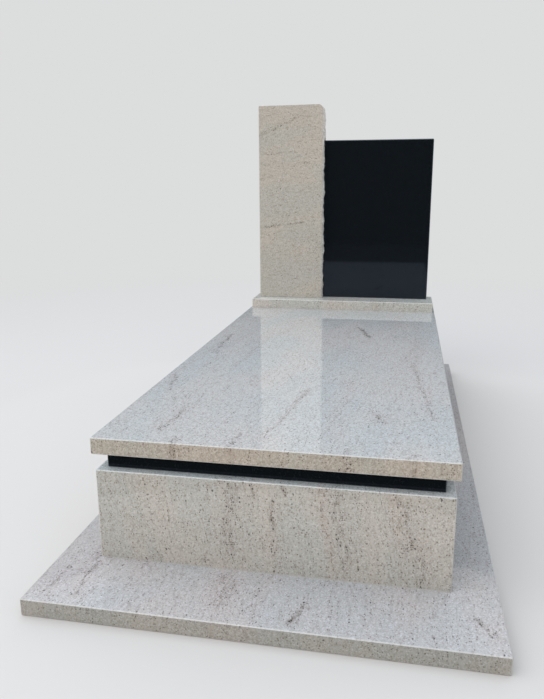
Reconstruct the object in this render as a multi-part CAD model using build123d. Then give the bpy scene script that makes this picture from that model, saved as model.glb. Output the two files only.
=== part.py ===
from build123d import *
import math
import os

# A single-grave monument in polished granite, standing on level ground.
# X runs across the grave, Y from its foot to its head, Z up.
# The origin is under the middle of the base slab. All sizes are in millimetres.

# Base slab, one piece under the whole monument
base_slab_width = 1000.0
base_slab_length = 2100.0
base_slab_thickness = 40.0

# Kerb: four upright panels that stand on the base slab as an open box
kerb_side_margin = 100.0
kerb_foot_margin = 190.0
kerb_head_margin = 100.0
kerb_height = 220.0
kerb_thickness = 60.0

# Band: four black strips, set back, that lift the cover slab off the kerb
band_setback = 21.0
band_height = 40.0
band_thickness = 30.0

# Cover slab over the box
cover_overhang = 6.0
cover_thickness = 40.0

# Base of the headstone, across the head end of the cover slab
headstone_base_inset = 9.0
headstone_base_depth = 180.0
headstone_base_thickness = 40.0

# Pillar, the pale left part of the headstone, with one rock-pitched side
pillar_end_inset = 24.0
pillar_setback = 62.0
pillar_width = 280.0
pillar_height = 830.0
pillar_thickness = 80.0
pillar_corner_radius = 20.0

# Rock-pitched side: how far it stands proud, and over what depth it rises from the front and the back
rock_proud = 9.0
rock_shoulder = 16.0

# Blows of the pitching chisel that shaped the rock-pitched side, in rows up the pillar.
# From each blow to the next, its hollow changes its radius and its tilt by a wave of blow_turn degrees.
blow_spacing = 52.0
blow_stagger = 17.0
blow_radius = 60.0
blow_radius_change = 18.0
blow_depth = 5.0
blow_tilt = 11.0
blow_turn = 137.5

# Tablet, the black right part of the headstone, flush with the back of the pillar
tablet_end_inset = 24.0
tablet_height = 685.0
tablet_thickness = 40.0

# Narrow chamfers along the polished edges
arris = 2.0
tablet_arris = 3.0

# Levels, from the ground up
kerb_bottom = base_slab_thickness
band_bottom = kerb_bottom + kerb_height
cover_bottom = band_bottom + band_height
headstone_base_bottom = cover_bottom + cover_thickness
headstone_bottom = headstone_base_bottom + headstone_base_thickness
pillar_top = headstone_bottom + pillar_height
tablet_top = headstone_bottom + tablet_height

# Kerb faces, which the band and the cover follow
kerb_side = base_slab_width / 2 - kerb_side_margin
kerb_foot = -base_slab_length / 2 + kerb_foot_margin
kerb_head = base_slab_length / 2 - kerb_head_margin

# Faces of the headstone's pieces
headstone_base_side = kerb_side + cover_overhang - headstone_base_inset
headstone_base_back = kerb_head + cover_overhang - headstone_base_inset
headstone_base_front = headstone_base_back - headstone_base_depth
pillar_left = -headstone_base_side + pillar_end_inset
pillar_right = pillar_left + pillar_width
pillar_front = headstone_base_front + pillar_setback
pillar_back = pillar_front + pillar_thickness
tablet_front = pillar_back - tablet_thickness
tablet_right = headstone_base_side - tablet_end_inset


def block(left, right, front, back, bottom, top):
    """A sawn block between six planes."""
    middle = ((left + right) / 2, (front + back) / 2, (bottom + top) / 2)
    return Pos(*middle) * Box(right - left, back - front, top - bottom)


def polished(left, right, front, back, bottom, top, edge=arris):
    """A block with a narrow chamfer along every edge."""
    sawn = block(left, right, front, back, bottom, top)
    return chamfer(sawn.edges(), edge)


def four_sides(inward, thickness, bottom, height):
    """An open box of four pieces, set in from the kerb faces.

    The end pieces run right across, and the side pieces fit between them."""
    side = kerb_side - inward
    foot = kerb_foot + inward
    head = kerb_head - inward
    top = bottom + height
    return {
        "front": polished(-side, side, foot, foot + thickness, bottom, top),
        "rear": polished(-side, side, head - thickness, head, bottom, top),
        "left": polished(-side, -side + thickness, foot + thickness, head - thickness, bottom, top),
        "right": polished(side - thickness, side, foot + thickness, head - thickness, bottom, top),
    }


def base_slab():
    """The slab that the whole monument stands on."""
    x = base_slab_width / 2
    y = base_slab_length / 2
    return polished(-x, x, -y, y, 0.0, base_slab_thickness)


def cover_slab():
    """The slab that closes the box and overhangs the kerb a little all round."""
    x = kerb_side + cover_overhang
    foot = kerb_foot - cover_overhang
    head = kerb_head + cover_overhang
    return polished(-x, x, foot, head, cover_bottom, cover_bottom + cover_thickness)


def headstone_base():
    """The low slab that carries the pillar and the tablet."""
    x = headstone_base_side
    front = headstone_base_front
    return polished(-x, x, front, headstone_base_back, headstone_base_bottom, headstone_bottom)


def pillar_section(y, proud):
    """The pillar's upright outline at depth y, its right side moved out by proud.

    Only the top right corner is rounded, and the rounding keeps its centre at every depth."""
    width = pillar_width + proud
    middle = Pos(pillar_left + width / 2, headstone_bottom + pillar_height / 2)
    sheet = middle * Rectangle(width, pillar_height)
    top_right = sheet.vertices().sort_by(Axis.X)[-2:].sort_by(Axis.Y)[-1]
    rounded = fillet(top_right, pillar_corner_radius + proud)
    return Plane(origin=(0, y, 0), x_dir=(1, 0, 0), z_dir=(0, -1, 0)) * rounded


def blow(number, height, across):
    """The hollow that one chisel blow leaves: a ball that bites into the rock face.

    across is 0 on the front slope of the face, 1 in its middle and 2 on its back slope."""
    wave = math.radians(number * blow_turn)
    radius = blow_radius + blow_radius_change * math.sin(wave)
    slope = (across - 1) * math.atan2(rock_proud, rock_shoulder)
    tilt = math.radians(blow_tilt) * math.cos(wave)
    outward = Vector(math.cos(slope) * math.cos(tilt), math.sin(slope) * math.cos(tilt), math.sin(tilt))
    x = pillar_right + (rock_proud if across == 1 else rock_proud / 2)
    half_shoulder = rock_shoulder / 2
    y = (pillar_front + half_shoulder, (pillar_front + pillar_back) / 2, pillar_back - half_shoulder)
    centre = Vector(x, y[across], height) + outward * (radius - blow_depth)
    return Pos(centre.X, centre.Y, centre.Z) * Sphere(radius)


def rock_blows():
    """All the blows: up the front slope and the middle, and up the back slope above the tablet."""
    rows = max(1, round(pillar_height / blow_spacing))
    step = pillar_height / rows
    blows = []
    for row in range(rows):
        for across in range(3):
            height = headstone_bottom + step * (row + 0.5) + blow_stagger * (across - 1)
            if across < 2 or height > tablet_top:
                blows.append(blow(3 * row + across, height, across))
    return blows


def pillar():
    """The pale upright stone: polished face, back, top and left side, and a rock-pitched right side."""
    rough = loft(
        [
            pillar_section(pillar_front, 0.0),
            pillar_section(pillar_front + rock_shoulder, rock_proud),
            pillar_section(pillar_back - rock_shoulder, rock_proud),
            pillar_section(pillar_back, 0.0),
        ],
        ruled=True,
    )
    beyond = pillar_right + rock_proud + 2 * arris
    seat = block(pillar_right, beyond, tablet_front, pillar_back, headstone_bottom, tablet_top)
    edges = polished(pillar_left, beyond, pillar_front, pillar_back, headstone_bottom, pillar_top)
    return (rough - rock_blows() - seat) & edges


def tablet():
    """The black polished stone for an inscription, left bare, in a flat seat in the pillar's side."""
    return polished(
        pillar_right, tablet_right, tablet_front, pillar_back, headstone_bottom, tablet_top, tablet_arris
    )


def monument():
    """Every piece by its name, from the ground up."""
    pieces = {"base_slab": base_slab()}
    for side, panel in four_sides(0.0, kerb_thickness, kerb_bottom, kerb_height).items():
        pieces[side + "_kerb"] = panel
    for side, strip in four_sides(band_setback, band_thickness, band_bottom, band_height).items():
        pieces[side + "_band"] = strip
    pieces["cover_slab"] = cover_slab()
    pieces["headstone_base"] = headstone_base()
    pieces["pillar"] = pillar()
    pieces["tablet"] = tablet()
    return pieces


os.makedirs("parts", exist_ok=True)
for name, piece in monument().items():
    export_step(piece, "parts/" + name + ".step")
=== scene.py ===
import math

import bmesh
import bpy
from mathutils import Euler, Matrix, Vector, noise


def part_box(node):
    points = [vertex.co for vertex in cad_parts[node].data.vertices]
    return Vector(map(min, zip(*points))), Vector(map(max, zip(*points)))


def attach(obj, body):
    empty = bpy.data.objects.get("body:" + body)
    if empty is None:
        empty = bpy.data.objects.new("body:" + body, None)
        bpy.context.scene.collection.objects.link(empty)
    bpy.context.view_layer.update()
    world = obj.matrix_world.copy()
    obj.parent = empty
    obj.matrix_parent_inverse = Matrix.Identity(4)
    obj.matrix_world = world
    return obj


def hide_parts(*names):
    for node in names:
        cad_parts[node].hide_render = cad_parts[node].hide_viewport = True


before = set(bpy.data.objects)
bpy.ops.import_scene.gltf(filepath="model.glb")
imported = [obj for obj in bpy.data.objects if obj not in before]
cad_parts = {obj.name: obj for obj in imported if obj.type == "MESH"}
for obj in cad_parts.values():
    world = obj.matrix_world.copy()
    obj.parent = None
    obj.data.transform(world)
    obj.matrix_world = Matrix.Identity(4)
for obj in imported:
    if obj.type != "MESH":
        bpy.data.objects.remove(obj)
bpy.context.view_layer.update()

MM = 0.001

# Camera: where the picture was taken from, in metres, how it was held, and how far it sees
CAMERA_PLACE = (0.2745, -2.1927, 0.898)
CAMERA_TURN = math.radians(11.13)
CAMERA_TILT = math.radians(-13.98)
CAMERA_ROLL = math.radians(-0.35)
CAMERA_REACH = 200.0
FOCAL_PX = 679.3
PICTURE_HEIGHT_PX = 699
SENSOR_MM = 36.0

# Settings that many nodes share
COLOURS = {"data_type": "RGBA"}
# The multiply blend below lays the painted-light cast of tops and sides over the stone
PAINTED_LIGHT_CAST_BLEND = {"data_type": "RGBA", "blend_type": "MULTIPLY"}
SMOOTH = {"interpolation_type": "SMOOTHSTEP"}
TIMES = {"operation": "MULTIPLY"}
TIMES_PLUS = {"operation": "MULTIPLY_ADD"}
MINUS = {"operation": "SUBTRACT"}
LARGER = {"operation": "MAXIMUM"}
UNSIGNED = {"operation": "ABSOLUTE"}
DISTANCE_ALONG = {"operation": "DOT_PRODUCT"}
DISTANCE_AWAY = {"operation": "LENGTH"}


def linear(hex_colour):
    """A colour written as sRGB hex, as the linear values that the shaders and lamps take."""
    channels = [int(hex_colour[i:i + 2], 16) / 255 for i in (1, 3, 5)]
    return tuple(c / 12.92 if c <= 0.04045 else ((c + 0.055) / 1.055) ** 2.4 for c in channels) + (1.0,)


def add(tree, kind, settings=None, **inputs):
    """Adds a node with its settings, and sets or links each input that is named.

    Underscores in a name read as spaces, and _0 is the first input, for nodes whose inputs share a name. A
    node given as a value stands for its first output in use."""
    node = tree.nodes.new(kind)
    for name, value in (settings or {}).items():
        setattr(node, name, value)
    for name, value in inputs.items():
        if name[1:].isdigit():
            socket = node.inputs[int(name[1:])]
        else:
            title = name.replace("_", " ")
            socket = next(taker for taker in node.inputs if taker.enabled and taker.name == title)
        if isinstance(value, bpy.types.Node):
            value = next(source for source in value.outputs if source.enabled)
        if isinstance(value, bpy.types.NodeSocket):
            tree.links.new(value, socket)
        else:
            socket.default_value = value
    return node


def new_material(name):
    """An empty material, its node tree, and the piece's own coordinates in metres."""
    material = bpy.data.materials.new(name)
    material.use_nodes = True
    tree = material.node_tree
    tree.nodes.clear()
    return material, tree, add(tree, "ShaderNodeTexCoord")


def sum_of(tree, *terms):
    """The sum of (value, weight) terms, each value a number or another node's output."""
    total = 0.0
    for value, weight in terms:
        total = add(tree, "ShaderNodeMath", TIMES_PLUS, _0=value, _1=weight, _2=total)
    return total


# Which way the streaks of each stone run: the turn that lays them along X, with their layers square to Y
LENGTHWAYS = (0.0, 0.0, math.radians(-86))
UPRIGHT_ACROSS = (math.radians(90), 0.0, math.radians(-83))
UPRIGHT_ALONG = (0.0, math.radians(-90), math.radians(-7))
CROSSWAYS = (math.radians(90), 0.0, math.radians(8))

# The way in which a placed streak runs on through a stone: down through a slab, back through an upright one
DOWN = (0.0, 0.0, 1.0)
BACK = (0.0, 1.0, 0.0)

# Pale granite of this kind: cream feldspar, grey quartz, brown mica and dark garnets, strung along its flow
CREAM = linear("#dcd6ca")
GREEN_GREY = linear("#d3d4cb")
ROSE = linear("#d3c4b8")
PALE_GRAIN = linear("#f2f1ed")
GREY_GRAIN = linear("#aca69c")
BROWN_MICA = linear("#83786b")
GREY_MICA = linear("#74756b")
DARK_GARNET = linear("#47423d")
# Paler colour of an arris: partly wear, partly a painted highlight along the edges
PALE_ARRIS = linear("#cfcdc6")
STONE_IOR = 1.54

# Two blocks of it: how strongly the bands turn rosy, and the colour of the mica
ROSY_BLOCK = (0.55, BROWN_MICA)
GREY_BLOCK = (0.05, GREY_MICA)

# Patches in the stone: their size in mm along the flow, across it and through it, the detail of their noise,
# and the heights of the noise at which a patch begins and is full
CLOUDS = ((420.0, 160.0, 300.0), 3.0, 0.4, 0.6)
BANDS = ((700.0, 48.0, 300.0), 4.0, 0.5, 0.76)
THREADS = ((120.0, 8.0, 60.0), 3.0, 0.59, 0.72)
BREAKS = ((24.0, 9.0, 24.0), 2.0, 0.36, 0.56)
MOTTLE = ((25.2, 7.0, 12.6), 2.0, 0.48, 0.78)
CRUSHED = ((6.0, 6.0, 6.0), 4.0, 0.4, 0.75)

# How much of its colour each gives where it is full
MOTTLE_SHARE = 0.55
THREAD_SHARE = 0.2
STAIN_SHARE = 0.5
CRUSHED_SHARE = 0.5
CRYSTAL_SHARE = 0.6

# Crystals of feldspar and quartz: their size, and the chance from which one turns pale or grey
CRYSTAL_MM = 2.6
PALE_CRYSTAL = 0.55
GREY_CRYSTAL = 0.5

# Specks of a dark mineral: length and width in mm, the chances at which one begins to show and is full,
# where its edge begins and ends, as shares of its size, and how much it covers
MICA_FLAKES = ((5.32, 3.8), (0.8, 0.95), (0.22, 0.55), 0.85)
GARNETS = ((8.45, 6.5), (0.95, 1.01), (0.14, 0.42), 0.9)

# What a band, a thread and a face with mica add to those chances
BAND_FLAKES = 0.14
THREAD_FLAKES = 0.34
FACE_FLAKES = 0.16
BAND_GARNETS = 0.03
THREAD_GARNETS = 0.45

# How far the flow wavers from side to side and a placed streak sways to each side, over what length each
# does, the detail of both, and how many times a streak's width its stain is
WAVER_MM = 70.0
WAVER_LENGTH_MM = 312.5
SWAY_MM = 14.0
SWAY_LENGTH_MM = 60.0
SOFT_DETAIL = 2.0
STAIN_WIDTHS = 3.0

# Polish: its roughness, that of a worn arris, how squarely along an axis an arris and a flat face look, and
# how much an arris pales in the pale stone, partly from wear and partly as a painted highlight
POLISH_ROUGHNESS = 0.045
ARRIS_ROUGHNESS = 0.3
ARRIS_SQUARE = 0.85
FACE_SQUARE = 0.97
PALE_ARRIS_SHARE = 0.45

# How far up a side and a top look, from 0 to 1: between them the painted-light cast and the mica change
SIDE_LEVEL = 0.3
TOP_LEVEL = 0.6

# Rock-pitched face: its mica, roughness and grit, and the bruise along it, which fades out from 2 to 6 mm
# behind the polished front
ROCK_MICA = 0.6
ROCK_ROUGHNESS = 0.75
GRIT_MM = 2.5
GRIT_DETAIL = 3.0
GRIT_STRENGTH = 0.6
GRIT_HEIGHT = 0.8 * MM
BRUISE_FROM = 2 * MM
BRUISE_TO = 6 * MM
BRUISE_SHARE = 0.35


def patches(tree, place, pattern, most=1.0):
    """Soft-edged patches of a pattern, from 0 between them to most inside."""
    size_mm, detail, begins, full = pattern
    steps = add(tree, "ShaderNodeVectorMath", TIMES, _0=place, _1=[1 / (size * MM) for size in size_mm])
    waves = add(tree, "ShaderNodeTexNoise", {}, Vector=steps, Scale=1.0, Detail=detail)
    return add(tree, "ShaderNodeMapRange", SMOOTH, Value=waves, From_Min=begins, From_Max=full, To_Max=most)


def grains(tree, place, along_mm, across_mm):
    """Grains of about that size: three random numbers for each, and a point's distance from its middle."""
    scale = [1 / (size * MM) for size in (along_mm, across_mm, across_mm)]
    steps = add(tree, "ShaderNodeVectorMath", TIMES, _0=place, _1=scale)
    cells = add(tree, "ShaderNodeTexVoronoi", {}, Vector=steps, Scale=1.0)
    chance = add(tree, "ShaderNodeSeparateColor", {}, Color=cells.outputs["Color"])
    return chance.outputs, cells.outputs["Distance"]


def strewn(tree, place, colour, specks, crowding, speck_colour):
    """The colour with specks of one mineral strewn over it; the terms of crowding raise their chance."""
    (along_mm, across_mm), (begins, full), (inner, outer), cover = specks
    chance, middle = grains(tree, place, along_mm, across_mm)
    likely = sum_of(tree, (chance[0], 1.0), *crowding)
    shows = add(tree, "ShaderNodeMapRange", SMOOTH, Value=likely, From_Min=begins, From_Max=full)
    inside = add(
        tree, "ShaderNodeMapRange", SMOOTH, Value=middle, From_Min=inner, From_Max=outer,
        To_Min=cover, To_Max=0.0,
    )
    mark = add(tree, "ShaderNodeMath", TIMES, _0=shows, _1=inside)
    return add(tree, "ShaderNodeMix", COLOURS, Factor=mark, A=colour, B=speck_colour)


def streak(tree, place, start, end, width_mm, through):
    """An uneven streak between two points, which runs on through the stone along one axis.

    Gives two shares, each 1 along its middle: the string of dark grains and the wider stain round it."""
    run = Vector(end) - Vector(start)
    length = run.length
    run.normalize()
    away = add(tree, "ShaderNodeVectorMath", MINUS, _0=place, _1=start)
    along = add(tree, "ShaderNodeVectorMath", DISTANCE_ALONG, _0=away, _1=run)
    beside = add(tree, "ShaderNodeVectorMath", DISTANCE_ALONG, _0=away, _1=run.cross(Vector(through)))
    sway = add(
        tree, "ShaderNodeTexNoise", {}, Vector=place, Scale=1 / (SWAY_LENGTH_MM * MM), Detail=SOFT_DETAIL
    )
    beside = sum_of(tree, (beside, 1.0), (sway, 2 * SWAY_MM * MM), (-1.0, SWAY_MM * MM))
    beside = add(tree, "ShaderNodeMath", UNSIGNED, _0=beside)
    width = width_mm * MM
    shares = []
    for reach in (width, STAIN_WIDTHS * width):
        begun = add(tree, "ShaderNodeMapRange", SMOOTH, Value=along, From_Min=-reach, From_Max=reach)
        ended = add(
            tree, "ShaderNodeMapRange", SMOOTH, Value=along, From_Min=length - reach, From_Max=length + reach,
            To_Min=1.0, To_Max=0.0,
        )
        near = add(tree, "ShaderNodeMapRange", SMOOTH, Value=beside, From_Max=reach, To_Min=1.0, To_Max=0.0)
        between_ends = add(tree, "ShaderNodeMath", TIMES, _0=begun, _1=ended)
        shares.append(add(tree, "ShaderNodeMath", TIMES, _0=between_ends, _1=near))
    return shares


def granite_colour(tree, place, flow, offset, mica, block, streaks=(), through=DOWN):
    """The speckled, streaked colour of the pale granite.

    flow turns the piece's coordinates so that the streaks run along X, in layers that stand square to Y;
    offset picks another part of the block. mica is how strongly brown and rosy bands show, 1 on the most
    marked face: a value or another node's output. streaks run between pairs of points, each with half its
    width in mm and a strength, which is about 1 for a string of dark grains and 3 for a dark vein. They run
    on through the stone along one axis."""
    turned = add(tree, "ShaderNodeMapping", {}, Vector=place, Location=offset, Rotation=flow)
    waver = add(
        tree, "ShaderNodeTexNoise", {}, Vector=turned, Scale=1 / (WAVER_LENGTH_MM * MM), Detail=SOFT_DETAIL
    )
    either_way = add(tree, "ShaderNodeVectorMath", MINUS, _0=waver.outputs["Color"], _1=(0.5, 0.5, 0.5))
    wavy = add(tree, "ShaderNodeVectorMath", TIMES_PLUS, _0=either_way, _1=[WAVER_MM * MM] * 3, _2=turned)
    band = patches(tree, wavy, BANDS, mica)
    thread = patches(tree, wavy, THREADS, mica)
    broken = patches(tree, wavy, BREAKS)
    for start, end, width_mm, strength in streaks:
        string, stain = streak(tree, place, start, end, width_mm, through)
        string = add(tree, "ShaderNodeMath", TIMES, _0=string, _1=broken)
        thread = sum_of(tree, (string, strength), (thread, 1.0))
        band = sum_of(tree, (stain, STAIN_SHARE), (band, 1.0))
    rosy, mica_colour = block
    crystal, _ = grains(tree, place, CRYSTAL_MM, CRYSTAL_MM)
    colour = GREEN_GREY
    for share, layer in (
        (patches(tree, wavy, CLOUDS), CREAM),
        (add(tree, "ShaderNodeMath", TIMES, _0=band, _1=rosy), ROSE),
        (patches(tree, wavy, MOTTLE, MOTTLE_SHARE), GREY_GRAIN),
        (add(tree, "ShaderNodeMath", TIMES, _0=thread, _1=THREAD_SHARE), mica_colour),
        (add(
            tree, "ShaderNodeMapRange", SMOOTH, Value=crystal[1], From_Min=PALE_CRYSTAL, To_Max=CRYSTAL_SHARE
        ), PALE_GRAIN),
        (add(
            tree, "ShaderNodeMapRange", SMOOTH, Value=crystal[2], From_Min=GREY_CRYSTAL, To_Max=CRYSTAL_SHARE
        ), GREY_GRAIN),
    ):
        colour = add(tree, "ShaderNodeMix", COLOURS, Factor=share, A=colour, B=layer)
    flakes = ((band, BAND_FLAKES), (thread, THREAD_FLAKES), (mica, FACE_FLAKES), (-1.0, FACE_FLAKES))
    colour = strewn(tree, wavy, colour, MICA_FLAKES, flakes, mica_colour)
    garnets = ((band, BAND_GARNETS), (thread, THREAD_GARNETS))
    return strewn(tree, wavy, colour, GARNETS, garnets, DARK_GARNET)


def polish(tree, coordinates):
    """How worn a face is, 1 on an arris and 0 on a flat one, its roughness, and how far up it looks."""
    facing = add(tree, "ShaderNodeVectorMath", UNSIGNED, _0=coordinates.outputs["Normal"])
    facing = add(tree, "ShaderNodeSeparateXYZ", {}, Vector=facing).outputs
    square = add(tree, "ShaderNodeMath", LARGER, _0=facing["X"], _1=facing["Y"])
    square = add(tree, "ShaderNodeMath", LARGER, _0=square, _1=facing["Z"])
    arris = add(
        tree, "ShaderNodeMapRange", SMOOTH, Value=square, From_Min=ARRIS_SQUARE, From_Max=FACE_SQUARE,
        To_Min=1.0, To_Max=0.0,
    )
    roughness = add(
        tree, "ShaderNodeMapRange", SMOOTH, Value=arris, To_Min=POLISH_ROUGHNESS, To_Max=ARRIS_ROUGHNESS
    )
    return arris, roughness, facing["Z"]


def pale_granite(name, flow, offset, top, sides, streaks=(), through=DOWN, block=ROSY_BLOCK):
    """Polished pale granite, which gives a clear mirror over a speckled stone with whitish arrises, paled
    partly by wear and partly as a painted highlight.

    top and sides each give a cast and how much mica shows. The cast is painted light: lighter and cooler on
    the top, darker and warmer on the sides. Less mica on the top partly paints the sheen that washes out the
    pattern there, and partly follows the saw, which crosses the flow on a slab's sides."""
    material, tree, coordinates = new_material(name)
    arris, roughness, level = polish(tree, coordinates)
    level = add(tree, "ShaderNodeMapRange", SMOOTH, Value=level, From_Min=SIDE_LEVEL, From_Max=TOP_LEVEL)
    # Less mica on the tops: partly a painted sheen that washes out the pattern there
    mica = add(tree, "ShaderNodeMapRange", SMOOTH, Value=level, To_Min=sides[1], To_Max=top[1])
    colour = granite_colour(tree, coordinates.outputs["Object"], flow, offset, mica, block, streaks, through)
    # Painted light: tops cast lighter and cooler, sides darker and warmer, by how far up each face looks
    painted_light_cast = add(tree, "ShaderNodeMix", COLOURS, Factor=level, A=linear(sides[0]), B=linear(top[0]))
    colour = add(tree, "ShaderNodeMix", PAINTED_LIGHT_CAST_BLEND, Factor=1.0, A=colour, B=painted_light_cast)
    # Arrises paled: partly real wear, partly a painted highlight along every edge
    wear_and_highlight = add(tree, "ShaderNodeMath", TIMES, _0=arris, _1=PALE_ARRIS_SHARE)
    colour = add(tree, "ShaderNodeMix", COLOURS, Factor=wear_and_highlight, A=colour, B=PALE_ARRIS)
    shader = add(tree, "ShaderNodeBsdfPrincipled", {}, Base_Color=colour, Roughness=roughness, IOR=STONE_IOR)
    add(tree, "ShaderNodeOutputMaterial", Surface=shader)
    return material


def rock_pitched_granite(name, flow, offset, front):
    """The same stone broken with a pitching chisel: matt, with patches of crushed, whitish crystals.

    front is the depth of the polished face, and the broken edge beside it is the most crushed."""
    material, tree, coordinates = new_material(name)
    place = coordinates.outputs["Object"]
    colour = granite_colour(tree, place, flow, offset, ROCK_MICA, GREY_BLOCK)
    depth = add(tree, "ShaderNodeSeparateXYZ", {}, Vector=place).outputs["Y"]
    edge = add(
        tree, "ShaderNodeMapRange", SMOOTH, Value=depth,
        From_Min=front + BRUISE_FROM, From_Max=front + BRUISE_TO, To_Min=BRUISE_SHARE, To_Max=0.0,
    )
    crushed = sum_of(tree, (patches(tree, place, CRUSHED, CRUSHED_SHARE), 1.0), (edge, 1.0))
    colour = add(tree, "ShaderNodeMix", COLOURS, Factor=crushed, A=colour, B=PALE_GRAIN)
    grit = add(tree, "ShaderNodeTexNoise", {}, Vector=place, Scale=1 / (GRIT_MM * MM), Detail=GRIT_DETAIL)
    relief = add(tree, "ShaderNodeBump", {}, Height=grit, Strength=GRIT_STRENGTH, Distance=GRIT_HEIGHT)
    shader = add(
        tree, "ShaderNodeBsdfPrincipled", {}, Base_Color=colour, Roughness=ROCK_ROUGHNESS, IOR=STONE_IOR,
        Normal=relief,
    )
    add(tree, "ShaderNodeOutputMaterial", Surface=shader)
    return material


# Setting mortar: two sorts of sand in pale cement
PALE_SAND = linear("#c9c6be")
GREY_SAND = linear("#aeaaa1")
SAND_MM = 1.2
MORTAR_ROUGHNESS = 0.85


def setting_mortar(name):
    """Pale cement mortar struck off flush with the stone: matt and sandy."""
    material, tree, coordinates = new_material(name)
    sand, _ = grains(tree, coordinates.outputs["Object"], SAND_MM, SAND_MM)
    colour = add(tree, "ShaderNodeMix", COLOURS, Factor=sand[0], A=PALE_SAND, B=GREY_SAND)
    shader = add(tree, "ShaderNodeBsdfPrincipled", {}, Base_Color=colour, Roughness=MORTAR_ROUGHNESS)
    add(tree, "ShaderNodeOutputMaterial", Surface=shader)
    return material


# Black granite: its colours, the size of its sparks, the chance from which one shows, and how strongly the
# bands and the tablet mirror
BLACK_STONE = linear("#0e1213")
GREY_SPARK = linear("#1d2123")
BLACK_ARRIS = linear("#4a5054")
BLUE_MIRROR = linear("#d4e2ff")
SPARK_MM = 2.2
SPARK_CHANCE = 0.9
BAND_MIRROR = 0.3
TABLET_MIRROR = 0.7


def black_granite(name, mirror):
    """Black granite polished to a mirror: close to black, with a few grey sparks and greyer arrises.

    Its mirror is faintly blue; mirror is how strong it is."""
    material, tree, coordinates = new_material(name)
    arris, roughness, _ = polish(tree, coordinates)
    spark, _ = grains(tree, coordinates.outputs["Object"], SPARK_MM, SPARK_MM)
    sparks = add(tree, "ShaderNodeMapRange", SMOOTH, Value=spark[0], From_Min=SPARK_CHANCE)
    colour = add(tree, "ShaderNodeMix", COLOURS, Factor=sparks, A=BLACK_STONE, B=GREY_SPARK)
    colour = add(tree, "ShaderNodeMix", COLOURS, Factor=arris, A=colour, B=BLACK_ARRIS)
    shader = add(
        tree, "ShaderNodeBsdfPrincipled", {}, Base_Color=colour, Roughness=roughness, IOR=STONE_IOR,
        Specular_IOR_Level=mirror, Specular_Tint=BLUE_MIRROR,
    )
    add(tree, "ShaderNodeOutputMaterial", Surface=shader)
    return material


def dress(node, material):
    """Gives a construction node its finish."""
    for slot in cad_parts[node].material_slots:
        slot.material = material


def mesh_object(name, shape, *materials):
    """A new object at the origin from a bmesh."""
    mesh = bpy.data.meshes.new(name)
    shape.to_mesh(mesh)
    shape.free()
    for material in materials:
        mesh.materials.append(material)
    piece = bpy.data.objects.new(name, mesh)
    bpy.context.scene.collection.objects.link(piece)
    return piece


# Rock-pitched side of the pillar: its mesh, its rounded top corner, and the bulge between its straight
# shoulders, which fades out over the top
ROCK_STEP = 3.0 * MM
CORNER_RADIUS = 20 * MM
ROCK_SHOULDER = 16 * MM
ROCK_BULGE = 0.9
TOP_FADE = 90 * MM

# The large hollows and small chips in it, how far one reaches from its middle, how their outlines are bent,
# and how shallow they become beside the edge
HOLLOW_SIZE = 38 * MM
HOLLOW_DEPTH = 6.0 * MM
CHIP_SIZE = 13 * MM
CHIP_DEPTH = 2.4 * MM
SCALLOP_REACH = 0.8
BEND = 0.35
BEND_SCALE = 0.8
EDGE_FADE = 6 * MM
EDGE_RELIEF = 0.3

# The eased arrises of its polished faces; what counts as an edge with no length, and as the same place; and
# the turn between two flat faces that makes an arris
ARRIS_WIDTH = 2 * MM
SHORTEST_EDGE = 0.02 * MM
HAIR = 0.01 * MM
ARRIS_TURN = math.radians(40)

POLISHED_SLOT = 0
ROCK_SLOT = 1

# The noise that bends the hollows' outlines would start from the clock without this
RELIEF_SEED = 7
noise.seed_set(RELIEF_SEED)


def smooth_step(value):
    """0 below 0, 1 above 1, and a smooth rise between."""
    value = min(1.0, max(0.0, value))
    return value * value * (3.0 - 2.0 * value)


def scallops(depth, run, size):
    """Scooped hollows of about that size that meet in sharp ridges: 1 in a middle and 0 on a ridge."""
    spot = Vector((depth / size, run / size, 0.0))
    distances, _ = noise.voronoi(spot + BEND * noise.noise_vector(spot * BEND_SCALE))
    return max(0.0, 1.0 - (distances[0] / SCALLOP_REACH) ** 2)


def rock_relief(run, depth, thickness, proud):
    """How far the broken stone stands out, run metres up the side and depth metres behind the front."""
    from_edge = min(depth, thickness - depth)
    bulge = ROCK_BULGE * proud * smooth_step(from_edge / ROCK_SHOULDER)
    inside = smooth_step(from_edge / EDGE_FADE + EDGE_RELIEF)
    hollows = HOLLOW_DEPTH * scallops(depth, run, HOLLOW_SIZE) * inside
    chips = CHIP_DEPTH * scallops(depth, run, CHIP_SIZE) * inside
    return min(proud, bulge - hollows - chips)


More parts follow.
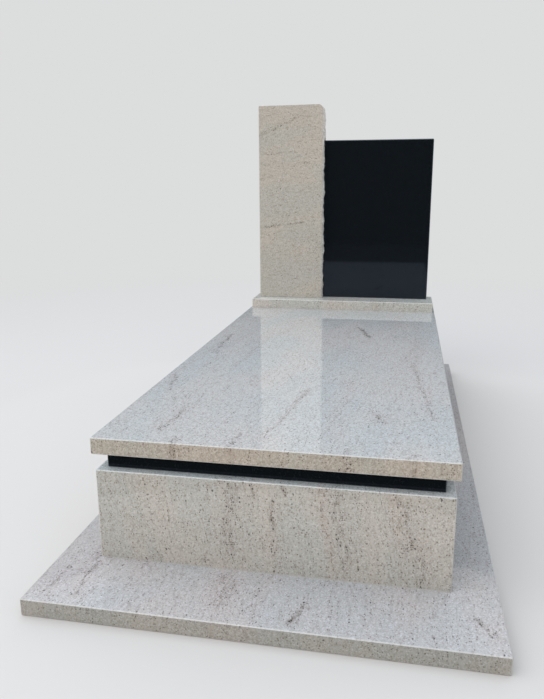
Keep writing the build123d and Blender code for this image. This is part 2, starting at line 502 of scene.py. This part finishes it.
def pillar(polished, rock):
    """The pale upright stone: flat polished faces, eased arrises and the broken right side."""
    low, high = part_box("pillar")
    tablet_low, tablet_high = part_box("tablet")
    face = tablet_low[0]
    left, front, bottom = low
    back, top = high[1], high[2]
    proud = high[0] - face
    thickness = back - front
    straight = top - CORNER_RADIUS - bottom
    arc = CORNER_RADIUS * math.pi / 2
    rows = round((straight + arc) / ROCK_STEP)
    columns = round(thickness / ROCK_STEP)
    shape = bmesh.new()
    # The grid is one unit wide and high about its middle, and is laid up the side and round the top corner
    bmesh.ops.create_grid(shape, x_segments=columns, y_segments=rows, size=0.5)
    for vert in shape.verts:
        depth = (vert.co.x + 0.5) * thickness
        run = (vert.co.y + 0.5) * (straight + arc)
        turn = max(0.0, run - straight) / CORNER_RADIUS
        outward = Vector((math.cos(turn), 0.0, math.sin(turn)))
        middle = Vector((face - CORNER_RADIUS, front + depth, bottom + min(run, straight)))
        behind_tablet = depth > tablet_low[1] - front - HAIR and middle.z < tablet_high[2]
        fade = smooth_step((straight + arc - run) / TOP_FADE)
        relief = 0.0 if behind_tablet else rock_relief(run, depth, thickness, proud) * fade
        vert.co = middle + outward * (CORNER_RADIUS + relief)
        vert.co.z = min(max(vert.co.z, bottom), top)
    for part in shape.faces:
        part.smooth = True
        part.material_index = ROCK_SLOT
    # The rim is drawn back to the far side and closed there, which makes the flat polished faces
    rim = [edge for edge in shape.edges if edge.is_boundary]
    skirt = bmesh.ops.extrude_edge_only(shape, edges=rim)["geom"]
    for part in skirt:
        if isinstance(part, bmesh.types.BMVert):
            part.co.x = left
    ends = [part for part in skirt if isinstance(part, bmesh.types.BMEdge) and part.is_boundary]
    closing = bmesh.ops.contextual_create(shape, geom=ends)["faces"]
    for part in closing + [part for part in skirt if isinstance(part, bmesh.types.BMFace)]:
        part.smooth = False
        part.material_index = POLISHED_SLOT
    bmesh.ops.recalc_face_normals(shape, faces=shape.faces)
    seams, arrises = [], []
    for edge in shape.edges:
        flats = [part for part in edge.link_faces if part.material_index == POLISHED_SLOT]
        if len(flats) == 2:
            square = flats[0].normal.angle(flats[1].normal) > ARRIS_TURN
            (arrises if square else seams).append(edge)
    bmesh.ops.dissolve_edges(shape, edges=seams, use_verts=True)
    arrises = [edge for edge in arrises if edge.is_valid]
    bmesh.ops.bevel(
        shape, geom=arrises, offset=ARRIS_WIDTH, offset_type="OFFSET", segments=1, profile=0.5,
        affect="EDGES", material=-1,
    )
    bmesh.ops.dissolve_degenerate(shape, dist=SHORTEST_EDGE, edges=shape.edges)
    piece = mesh_object("rock_edged_pillar", shape, polished, rock)
    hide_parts("pillar")
    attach(piece, "root")
    return piece


# Groove that the eased foot of a stone leaves on the one below, and how far the mortar in it is struck back
GROOVE = 2.0 * MM
STRUCK_BACK = 0.3 * MM


def pointing(name, low, high, mortar):
    """A bead of mortar in the groove round the foot of a stone whose outline runs from low to high."""
    shape = bmesh.new()
    loops = []
    for inset, lift in ((STRUCK_BACK, 0.0), (STRUCK_BACK, GROOVE - STRUCK_BACK), (GROOVE, 0.0)):
        left, front, right, back = low[0] + inset, low[1] + inset, high[0] - inset, high[1] - inset
        outline = ((left, front), (right, front), (right, back), (left, back))
        corners = [shape.verts.new((x, y, low[2] + lift)) for x, y in outline]
        loops.append([shape.edges.new(pair) for pair in zip(corners, corners[1:] + corners[:1])])
    for first, second in zip(loops, loops[1:] + loops[:1]):
        bmesh.ops.bridge_loops(shape, edges=first + second)
    bmesh.ops.recalc_face_normals(shape, faces=shape.faces)
    piece = mesh_object(name, shape, mortar)
    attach(piece, "root")


# Studio: a cool sky overhead that is lighter on the left, a warm horizon, and a pale background
ZENITH = linear("#dfe9f7")
HORIZON = linear("#c9b296")
SKY_STRENGTH = 1.49
SKY_LEAN = -0.42
SKY_RISE = 0.45
BACKGROUND = linear("#dcdddd")

# Softboxes: name, place, the point that each is turned to, width, power and colour
SOFTBOXES = (
    ("overhead_softbox", (-2.2, -2.6, 5.2), (0.0, 0.0, 0.5), 5.2, 60.0, "#ffffff"),
    ("key_softbox", (-2.2, -6.0, 1.9), (0.0, 0.0, 0.6), 2.6, 12.0, "#fff4e8"),
)

# Floor: its paint, its size, and how far away it begins to run into the background and has done so
FLOOR_PAINT = linear("#d3cdc5")
FLOOR_ROUGHNESS = 0.9
FLOOR_RADIUS = 60.0
FLOOR_SIDES = 96
FLOOR_FADE_FROM = 1.6
FLOOR_FADE_TO = 5.0

# Dark cloth: how far out it begins and stands up, how far it lies off the floor, and how high it stands
CLOTH = linear("#363c40")
CLOTH_ROUGHNESS = 1.0
CLOTH_FROM = 1.35
CLOTH_TO = 6.0
CLOTH_LIFT = 2 * MM
CLOTH_TOP = 4.0
CLOTH_SIDES = 64


def seen_rays(tree):
    """1 on rays by which the camera sees something, straight, mirrored or through glass, else 0."""
    path = add(tree, "ShaderNodeLightPath").outputs
    seen = add(tree, "ShaderNodeMath", LARGER, _0=path["Is Camera Ray"], _1=path["Is Glossy Ray"])
    return add(tree, "ShaderNodeMath", LARGER, _0=seen, _1=path["Is Transmission Ray"])


def floor():
    """The plain pale studio floor, which runs into the background some metres away."""
    shape = bmesh.new()
    bmesh.ops.create_circle(shape, cap_ends=True, segments=FLOOR_SIDES, radius=FLOOR_RADIUS)
    material, tree, coordinates = new_material("painted_floor")
    paint = add(tree, "ShaderNodeBsdfPrincipled", {}, Base_Color=FLOOR_PAINT, Roughness=FLOOR_ROUGHNESS)
    away = add(tree, "ShaderNodeVectorMath", DISTANCE_AWAY, _0=coordinates.outputs["Object"])
    far = add(
        tree, "ShaderNodeMapRange", SMOOTH, Value=away, From_Min=FLOOR_FADE_FROM, From_Max=FLOOR_FADE_TO
    )
    share = add(tree, "ShaderNodeMath", TIMES, _0=far, _1=seen_rays(tree))
    backdrop = add(tree, "ShaderNodeEmission", {}, Color=BACKGROUND, Strength=1.0)
    shader = add(tree, "ShaderNodeMixShader", {}, _0=share, _1=paint, _2=backdrop)
    add(tree, "ShaderNodeOutputMaterial", Surface=shader)
    mesh_object("studio_floor", shape, material)


def dark_surround():
    """Dark cloth on the floor and on a low screen round the studio, which only the polished stone mirrors."""
    shape = bmesh.new()
    verts = [shape.verts.new((away, 0.0, height)) for away, height in (
        (CLOTH_FROM, CLOTH_LIFT), (CLOTH_TO, CLOTH_LIFT), (CLOTH_TO, CLOTH_TOP),
    )]
    edges = [shape.edges.new(pair) for pair in zip(verts, verts[1:])]
    bmesh.ops.spin(
        shape, geom=verts + edges, cent=(0, 0, 0), axis=(0, 0, 1), angle=math.tau, steps=CLOTH_SIDES,
        use_merge=True,
    )
    material, tree, _ = new_material("dark_cloth")
    shader = add(tree, "ShaderNodeBsdfPrincipled", {}, Base_Color=CLOTH, Roughness=CLOTH_ROUGHNESS)
    add(tree, "ShaderNodeOutputMaterial", Surface=shader)
    screen = mesh_object("dark_screen", shape, material)
    screen.visible_camera = False
    screen.visible_diffuse = False
    screen.visible_shadow = False
    screen.visible_transmission = False
    screen.visible_volume_scatter = False


def softbox(name, place, aim, width, power, hex_colour):
    """A square softbox at a place, turned to a point."""
    data = bpy.data.lights.new(name, "AREA")
    data.shape = "SQUARE"
    data.size = width
    data.energy = power
    data.color = linear(hex_colour)[:3]
    light = bpy.data.objects.new(name, data)
    light.location = place
    light.rotation_euler = (Vector(aim) - Vector(place)).to_track_quat("-Z", "Y").to_euler()
    bpy.context.scene.collection.objects.link(light)


def sky():
    """The world's soft light, and the even background that the camera and the polished stone see."""
    world = bpy.data.worlds.new("studio")
    bpy.context.scene.world = world
    world.use_nodes = True
    tree = world.node_tree
    tree.nodes.clear()
    direction = add(tree, "ShaderNodeTexCoord").outputs["Generated"]
    towards = add(tree, "ShaderNodeSeparateXYZ", {}, Vector=direction).outputs
    height = add(tree, "ShaderNodeMapRange", SMOOTH, Value=towards["Z"], From_Max=SKY_RISE)
    colour = add(tree, "ShaderNodeMix", COLOURS, Factor=height, A=HORIZON, B=ZENITH)
    strength = sum_of(tree, (towards["X"], SKY_LEAN * SKY_STRENGTH), (1.0, SKY_STRENGTH))
    light = add(tree, "ShaderNodeBackground", {}, Color=colour, Strength=strength)
    backdrop = add(tree, "ShaderNodeBackground", {}, Color=BACKGROUND, Strength=1.0)
    shader = add(tree, "ShaderNodeMixShader", {}, _0=seen_rays(tree), _1=light, _2=backdrop)
    add(tree, "ShaderNodeOutputWorld", Surface=shader)


def camera():
    """The camera at the photograph's viewing angle."""
    data = bpy.data.cameras.new("camera")
    data.sensor_width = SENSOR_MM
    data.lens = FOCAL_PX * SENSOR_MM / PICTURE_HEIGHT_PX
    data.clip_end = CAMERA_REACH
    eye = bpy.data.objects.new("camera", data)
    aimed = Euler((math.pi / 2 + CAMERA_TILT, 0.0, CAMERA_TURN)).to_matrix()
    held = aimed @ Matrix.Rotation(CAMERA_ROLL, 3, "Z")
    eye.matrix_world = Matrix.Translation(CAMERA_PLACE) @ held.to_4x4()
    bpy.context.scene.collection.objects.link(eye)
    bpy.context.scene.camera = eye


camera()
floor()
dark_surround()
for lamp in SOFTBOXES:
    softbox(*lamp)
sky()
bpy.context.scene.view_settings.view_transform = "Standard"

# Dark strings and veins that each stone shows: from point to point, half its width in mm, and its strength
SLAB_STREAKS = (
    ((-0.466, -1.029, 0.04), (-0.452, -0.9, 0.04), 8, 1.6),
    ((-0.39, -1.02, 0.04), (-0.405, -0.84, 0.04), 12, 1.4),
    ((-0.085, -1.0, 0.04), (-0.075, -0.88, 0.04), 28, 1.2),
    ((0.074, -1.028, 0.04), (0.098, -0.953, 0.04), 11, 3.0),
    ((0.447, -0.939, 0.04), (0.472, -0.997, 0.04), 11, 3.0),
)
KERB_STREAKS = (
    ((-0.079, -0.86, 0.262), (-0.092, -0.86, 0.07), 26, 1.2),
    ((-0.036, -0.86, 0.258), (-0.034, -0.86, 0.225), 7, 2.5),
    ((0.007, -0.86, 0.22), (0.014, -0.86, 0.09), 9, 2.0),
    ((0.036, -0.86, 0.255), (0.04, -0.86, 0.23), 7, 2.5),
    ((0.148, -0.86, 0.26), (0.18, -0.86, 0.05), 22, 1.2),
    ((0.287, -0.86, 0.25), (0.34, -0.86, 0.05), 18, 1.2),
)
COVER_STREAKS = (
    ((-0.346, -0.49, 0.34), (-0.381, -0.34, 0.34), 10, 2.0),
    ((-0.27, -0.8, 0.34), (-0.258, -0.6, 0.34), 14, 1.2),
    ((-0.34, -0.07, 0.34), (-0.352, 0.217, 0.34), 12, 2.0),
    ((-0.021, -0.812, 0.34), (0.03, -0.409, 0.34), 10, 1.2),
    ((0.109, 0.421, 0.34), (0.156, 0.236, 0.34), 12, 3.0),
    ((0.311, -0.09, 0.34), (0.357, -0.62, 0.34), 9, 1.2),
    ((0.218, -0.58, 0.34), (0.241, -0.66, 0.34), 16, 1.2),
    ((-0.22, -0.9, 0.34), (-0.21, -0.83, 0.34), 12, 1.2),
    ((-0.08, -0.9, 0.34), (-0.075, -0.78, 0.34), 10, 1.2),
    ((0.17, -0.9, 0.34), (0.172, -0.84, 0.34), 16, 1.2),
    ((0.31, -0.9, 0.34), (0.31, -0.84, 0.34), 12, 1.2),
)
PILLAR_STREAKS = (
    ((-0.37, 0.829, 1.085), (-0.17, 0.829, 1.17), 9, 1.2),
    ((-0.36, 0.829, 1.01), (-0.22, 0.829, 1.02), 5, 1.0),
    ((-0.353, 0.829, 0.693), (-0.172, 0.829, 0.719), 8, 1.6),
)

# Pale stones: which way the flow runs, the part of the block, the cast and the mica of the top and of the
# sides, and the streaks that are placed one by one. The casts are painted light: tops lighter and cooler,
# sides darker and warmer
KERB_STONE = ((0.7, 0.2, 0.4), ("#f2f8ff", 0.8), ("#dddad8", 1.0))
PALE_STONES = (
    ("base_slab", LENGTHWAYS, (0.3, 0.1, 0.0), ("#dedce2", 0.7), ("#bdbbb8", 1.0), SLAB_STREAKS, DOWN),
    ("front_kerb", UPRIGHT_ACROSS, *KERB_STONE, KERB_STREAKS, BACK),
    ("rear_kerb", UPRIGHT_ACROSS, *KERB_STONE),
    ("left_kerb", UPRIGHT_ALONG, *KERB_STONE),
    ("right_kerb", UPRIGHT_ALONG, *KERB_STONE),
    ("cover_slab", LENGTHWAYS, (1.7, 0.9, 0.2), ("#e6e7ec", 0.6), ("#d8d0c8", 1.0), COVER_STREAKS, DOWN),
    ("headstone_base", LENGTHWAYS, (2.7, 1.9, 0.6), ("#ffffff", 0.6), ("#e9e7e5", 1.0)),
)
PILLAR_BLOCK = (8.5, 5.2, 1.4)
# The pillar's casts are painted light too: its top lighter, its sides darker and warmer
PILLAR_TOP_LIGHT_AND_MICA = ("#ebebeb", 0.35)
PILLAR_SIDES_SHADE_AND_MICA = ("#dbd6d1", 0.35)

for stone, *look in PALE_STONES:
    dress(stone, pale_granite(stone + "_granite", *look))
for stone in ("front_band", "rear_band", "left_band", "right_band"):
    dress(stone, black_granite(stone + "_granite", BAND_MIRROR))
dress("tablet", black_granite("tablet_granite", TABLET_MIRROR))
pillar(
    pale_granite(
        "pillar_granite", CROSSWAYS, PILLAR_BLOCK, PILLAR_TOP_LIGHT_AND_MICA, PILLAR_SIDES_SHADE_AND_MICA, PILLAR_STREAKS, BACK, GREY_BLOCK
    ),
    rock_pitched_granite("rock_pitched_granite", CROSSWAYS, PILLAR_BLOCK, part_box("pillar")[0][1]),
)
mortar = setting_mortar("setting_mortar")
pointing("kerb_pointing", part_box("front_kerb")[0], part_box("rear_kerb")[1], mortar)
pointing("headstone_base_pointing", *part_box("headstone_base"), mortar)
